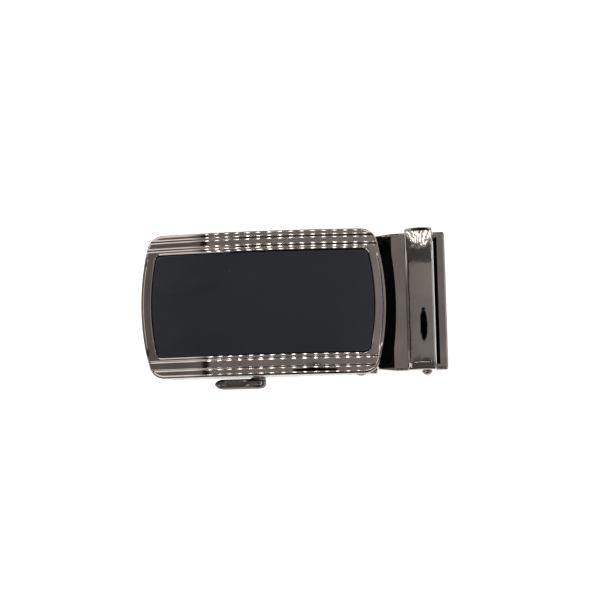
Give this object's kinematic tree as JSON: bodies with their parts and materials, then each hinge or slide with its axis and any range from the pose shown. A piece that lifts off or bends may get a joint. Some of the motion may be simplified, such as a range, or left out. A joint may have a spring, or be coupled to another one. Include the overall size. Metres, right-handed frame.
{
  "type": "ratchet belt buckle",
  "caption": "Curved rectangular ratchet belt buckle with grooved gunmetal frame, dark inlay, side release lever, hinged strap clamp and raised strap keeper.",
  "frame": {"origin": "centre of the face in plan, on the plane that the back lies on", "axes": "+X along the strap towards the clamp, +Y across the strap away from the lever, +Z out of the face"},
  "size_m": [0.0851, 0.0433, 0.0173],
  "materials": {
    "gunmetal": "polished black-nickel plating on cast zinc",
    "keeper_gunmetal": "black-nickel plating with a slight orange-peel texture",
    "dark_gunmetal": "satin black-nickel plating",
    "inlay_black": "satin blue-black lacquer",
    "adhesive": "thin adhesive layer",
    "steel": "bright turned steel",
    "pawl_steel": "satin nickel-plated steel",
    "spring_wire": "drawn spring wire"
  },
  "bodies": {
    "buckle_face": {"face_shell": "gunmetal", "inlay_panel": "inlay_black", "inlay_adhesive": "adhesive", "entry_guide_bar": "steel", "pawl_stop_rod": "steel", "hinge_pin": "gunmetal", "pawl_spring_lever_side": "spring_wire", "pawl_spring_far_side": "spring_wire"},
    "pawl_and_lever": {"pawl_shaft": "steel", "pawl_plate": "pawl_steel", "pawl_roll_pin": "steel", "release_lever": "dark_gunmetal", "thrust_washers": "steel"},
    "strap_clamp": {"clamp_housing": "gunmetal", "strap_keeper": "keeper_gunmetal", "keeper_rivets": "steel", "clamp_pin": "gunmetal"},
    "toothed_flap": {"clamp_flap": "dark_gunmetal"}
  },
  "joints": [
    {"name": "lever_release", "type": "hinge", "parent": "buckle_face", "child": "pawl_and_lever", "pos_m": [-0.0025, 0, 0.006], "axis": [0, 1, 0], "range_deg": [0, 16], "stiffness_Nm_per_rad": 0.06, "springref_deg": -28.65, "deforming": ["pawl_spring_lever_side", "pawl_spring_far_side"]},
    {"name": "clamp_swivel", "type": "hinge", "parent": "buckle_face", "child": "strap_clamp", "pos_m": [0.0263, 0, 0.0033], "axis": [0, 1, 0], "range_deg": [-5, 25]},
    {"name": "flap_open", "type": "hinge", "parent": "strap_clamp", "child": "toothed_flap", "pos_m": [0.0448, 0, 0.0016], "axis": [0, -1, 0], "range_deg": [0, 75]}
  ]
}
